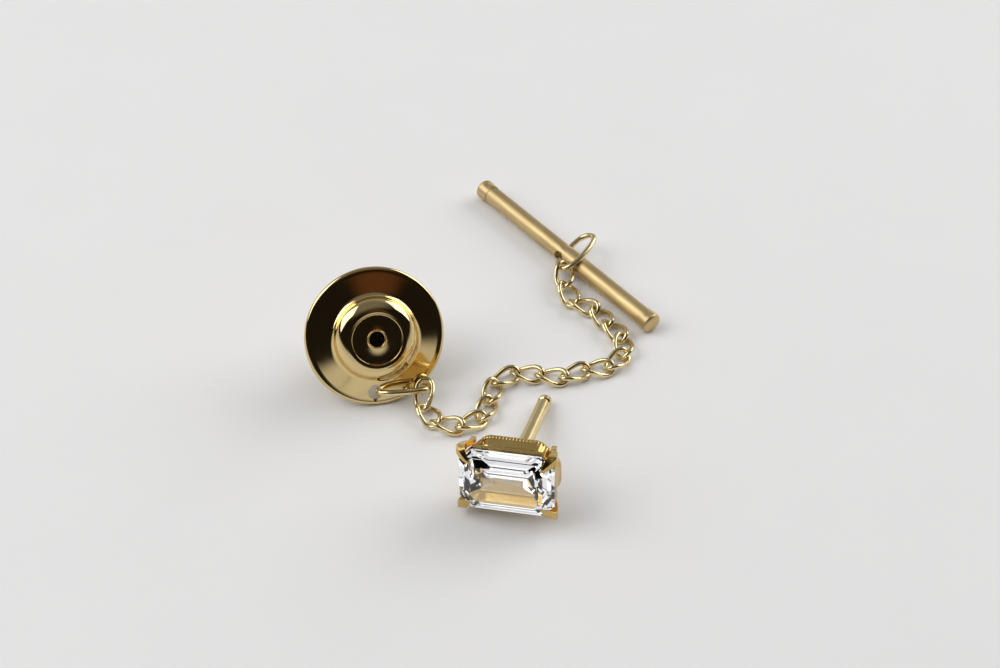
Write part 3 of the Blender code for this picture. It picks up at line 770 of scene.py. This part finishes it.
def make_setting():
    """Back tray with a milled rim, and the seat rail that holds the stone, both with softened edges."""
    low = -tray_depth
    top = low + tray_rim
    ease = 0.05 * MM
    step_in = 0.07 * MM
    nick = 0.05 * MM
    proud = 0.01 * MM
    shape = [(ease, low, 0.0), (proud, low + ease, nick), (proud, low + milled_edge - ease, nick)]
    shape += [(step_in, low + milled_edge, 0.0), (step_in, top - ease, 0.0), (step_in + ease, top, 0.0)]
    shape += [(tray_wall - ease, top, 0.0), (tray_wall, top - ease, 0.0), (tray_wall, low + tray_floor, 0.0)]
    rings = [soft_outline(inset, height, tray_corner, cut) for inset, height, cut in shape]
    points, faces = lofted(rings)
    make_piece(
        "setting_back_tray", points, faces, setting_gold, tack_frame, "tack",
        ["setting_tray"], 30.0)
    rail_top = -0.24 * pavilion_depth
    rail_low = rail_top - rail_height
    inner = seat_gap + rail_thickness
    shape = [(seat_gap + ease, rail_low), (seat_gap, rail_low + ease), (seat_gap, rail_top - ease)]
    shape += [(seat_gap + ease, rail_top), (inner, rail_top), (inner, rail_low)]
    rings = [octagon(inset, height) for inset, height in shape]
    points, faces = lofted(rings, True)
    make_piece(
        "setting_seat_rail", points, faces, setting_gold, tack_frame, "tack",
        ["seat_rail"], 30.0)


def make_claws():
    """Four claws bent over the corners of the stone, each filed to a point."""
    spread = (claw_radius + seat_gap) * math.sqrt(0.5)
    x_place = stone_half_width - stone_corner / 2.0 + spread
    y_place = stone_half_height - stone_corner / 2.0 + spread
    root = 0.75 * (tray_corner - stone_corner) * math.sqrt(2.0)
    path = [(root, -tray_depth, 0.6), (0.85 * root, -0.72 * tray_depth, 0.6)]
    path += [(0.1 * MM, -0.36 * tray_depth, 0.75), (0.0, -0.12 * tray_depth, 0.9)]
    path += [(0.0, 0.08 * claw_height, 1.0), (0.26 * claw_reach, 0.45 * claw_height, 0.9)]
    path += [(0.63 * claw_reach, 0.79 * claw_height, 0.6), (claw_reach, claw_height, 0.12)]
    corners = (("claw_upper_right", 1, 1), ("claw_upper_left", -1, 1))
    corners += (("claw_lower_left", -1, -1), ("claw_lower_right", 1, -1))
    for node_name, x_sign, y_sign in corners:
        inward = Vector((-x_sign, -y_sign, 0.0)).normalized()
        sideways = Vector((-inward.y, inward.x, 0.0))
        rings = []
        for reach, height, share in path:
            centre = Vector((x_sign * x_place, y_sign * y_place, height)) + inward * reach
            ring = []
            for side in range(4):
                angle = 2.0 * math.pi * side / 4.0
                way = inward * math.cos(angle) + sideways * math.sin(angle)
                ring.append(centre + way * claw_radius * share)
            rings.append(ring)
        points, faces = lofted(rings)
        claw = make_piece(
            "filed_" + node_name, points, faces, setting_gold, tack_frame, "tack",
            [node_name], 20.0)
        soften = claw.modifiers.new("soften", "BEVEL")
        soften.width = 0.05 * MM
        soften.segments = 2


def make_post():
    """Post with its locking groove and rounded tip, soldered in a small foot."""
    low = -tray_depth
    foot_top = low - seat_gap
    hole = post_radius + seat_gap
    fillet = 0.05 * MM
    rounding = 0.4 * foot_height
    foot = [(hole, foot_top), (foot_radius - fillet, foot_top)]
    foot += arc((foot_radius - fillet, foot_top - fillet), fillet, 90.0, 0.0, 3)
    foot += arc((foot_radius - rounding, foot_top - foot_height + rounding), rounding, 0.0, -90.0, 6)
    foot.append((hole, foot_top - foot_height))
    points, faces = spun(foot, 96)
    make_piece(
        "solder_foot", points, faces, setting_gold, tack_frame, "tack",
        ["post_foot"])
    tip = low - post_length
    front = tip + groove_setback + groove_width
    back = tip + groove_setback
    waist = post_radius - groove_depth
    post = [(0.0, foot_top), (post_radius, foot_top), (post_radius, front)]
    post += [(waist, front - 0.3 * groove_width), (waist, back + 0.3 * groove_width)]
    post.append((post_radius, back))
    for step in range(11):
        angle = math.radians(90.0 * step / 10.0)
        post.append((post_radius * math.cos(angle), tip + post_radius * (1.0 - math.sin(angle))))
    post[-1] = (0.0, tip)
    points, faces = spun(post, 96)
    make_piece(
        "grooved_post", points, faces, polished_gold, tack_frame, "tack",
        ["tack_post"])


make_clutch_cap()
make_clutch_pieces()
make_spring()
make_links()
make_rings()
make_bar()
make_stone()
make_setting()
make_claws()
make_post()

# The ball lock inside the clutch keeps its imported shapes, in hardened steel.
for name in ("cone_bushing", "ball_cage", "lock_ball_1", "lock_ball_2", "lock_ball_3"):
    inside = frame["nodes"][name]
    inside.data.materials.clear()
    inside.data.materials.append(steel)


# ---------------------------------------------------------------- table, light and camera

def make_table():
    board = bpy.data.meshes.new("table_board")
    edge = [(0.0, 0.0), (table_radius, 0.0), (table_radius, -table_thickness), (0.0, -table_thickness)]
    points, faces = spun(edge, 96)
    board.from_pydata(points, [], faces)
    board.materials.append(painted_board())
    table = bpy.data.objects.new("table_board", board)
    bpy.context.scene.collection.objects.link(table)
    table.location.z = cad_box[0][2] - table_drop


def make_softbox(name, way, distance, width, height, power):
    """A rectangular soft light that faces the middle of the set."""
    light = bpy.data.lights.new(name, "AREA")
    light.shape = "RECTANGLE"
    light.size = width
    light.size_y = height
    light.energy = power
    lamp = bpy.data.objects.new(name, light)
    bpy.context.scene.collection.objects.link(lamp)
    lamp.matrix_world = facing_frame(Vector(way), Vector(way).normalized() * distance)
    return lamp


def make_room():
    """Surroundings: a pale sweep behind, dim overhead, and a dark room on the viewer's side."""
    world = bpy.data.worlds.new("studio_room")
    bpy.context.scene.world = world
    world.use_nodes = True
    tree = world.node_tree
    way = node(tree, "ShaderNodeTexCoord").outputs["Generated"]
    split = node(tree, "ShaderNodeSeparateXYZ", Vector=way)
    above = node(
        tree, "ShaderNodeMapRange",
        [("interpolation_type", "SMOOTHSTEP"), ("From Min", 0.08), ("From Max", 0.2)],
        Value=split.outputs["Z"])
    behind = node(
        tree, "ShaderNodeMapRange",
        [("interpolation_type", "SMOOTHSTEP"), ("From Min", 0.0), ("From Max", 0.6)],
        Value=split.outputs["Y"])
    overhead = node(
        tree, "ShaderNodeMapRange",
        [("interpolation_type", "SMOOTHSTEP"), ("From Min", 0.7), ("From Max", 0.98)],
        Value=split.outputs["Z"])
    warm = node(
        tree, "ShaderNodeVectorMath", [("operation", "DOT_PRODUCT"), (1, (0.35, -0.68, 0.645))], Vector=way)
    patch = node(
        tree, "ShaderNodeMapRange",
        [("interpolation_type", "SMOOTHSTEP"), ("From Min", 0.975), ("From Max", 0.999)],
        Value=warm.outputs["Value"])
    dark = node(tree, "ShaderNodeMix", [("data_type", "RGBA"), (6, colour("1E1A17")), (7, colour("5A3A26"))])
    tree.links.new(patch.outputs["Result"], dark.inputs[0])
    sweep = node(tree, "ShaderNodeMix", [("data_type", "RGBA"), (7, colour("9C9C9C"))])
    tree.links.new(behind.outputs["Result"], sweep.inputs[0])
    tree.links.new(dark.outputs[2], sweep.inputs[6])
    ceiling = node(tree, "ShaderNodeMix", [("data_type", "RGBA"), (7, colour("7A7876"))])
    tree.links.new(overhead.outputs["Result"], ceiling.inputs[0])
    tree.links.new(sweep.outputs[2], ceiling.inputs[6])
    horizon = node(tree, "ShaderNodeMix", [("data_type", "RGBA"), (6, colour("D0D0D0"))])
    tree.links.new(above.outputs["Result"], horizon.inputs[0])
    tree.links.new(ceiling.outputs[2], horizon.inputs[7])
    seen = node(tree, "ShaderNodeLightPath").outputs["Is Camera Ray"]
    through = node(tree, "ShaderNodeLightPath").outputs["Transmission Depth"]
    white_card = node(tree, "ShaderNodeMix", [("data_type", "RGBA"), (7, colour("F2F2F2"))])
    tree.links.new(through, white_card.inputs[0])
    tree.links.new(horizon.outputs[2], white_card.inputs[6])
    final = node(tree, "ShaderNodeMix", [("data_type", "RGBA"), (7, colour("E6E6E6"))])
    tree.links.new(seen, final.inputs[0])
    tree.links.new(white_card.outputs[2], final.inputs[6])
    tree.links.new(final.outputs[2], tree.nodes["Background"].inputs["Color"])


def make_camera():
    camera = bpy.data.cameras.new("camera")
    camera.lens = lens_mm
    camera.sensor_width = sensor_mm
    camera.clip_start = nearest_seen
    holder = bpy.data.objects.new("camera", camera)
    bpy.context.scene.collection.objects.link(holder)
    back = camera_distance * math.cos(camera_height_angle)
    rise = camera_distance * math.sin(camera_height_angle)
    holder.location = camera_aim + Vector((0.0, -back, rise))
    holder.rotation_euler = (math.pi / 2.0 - camera_height_angle, 0.0, 0.0)
    bpy.context.scene.camera = holder


make_table()
make_softbox("left_softbox", (-0.74, -0.04, 0.68), 0.5, 0.40, 0.40, 1.4)
make_softbox("right_softbox", (0.75, 0.43, 0.5), 0.5, 0.40, 0.34, 1.25)
make_softbox("ceiling_fill", (0.0, 0.01, 1.0), 0.6, 0.8, 0.8, 1.15).visible_glossy = False
make_room()
make_camera()
bpy.context.scene.view_settings.view_transform = "Standard"
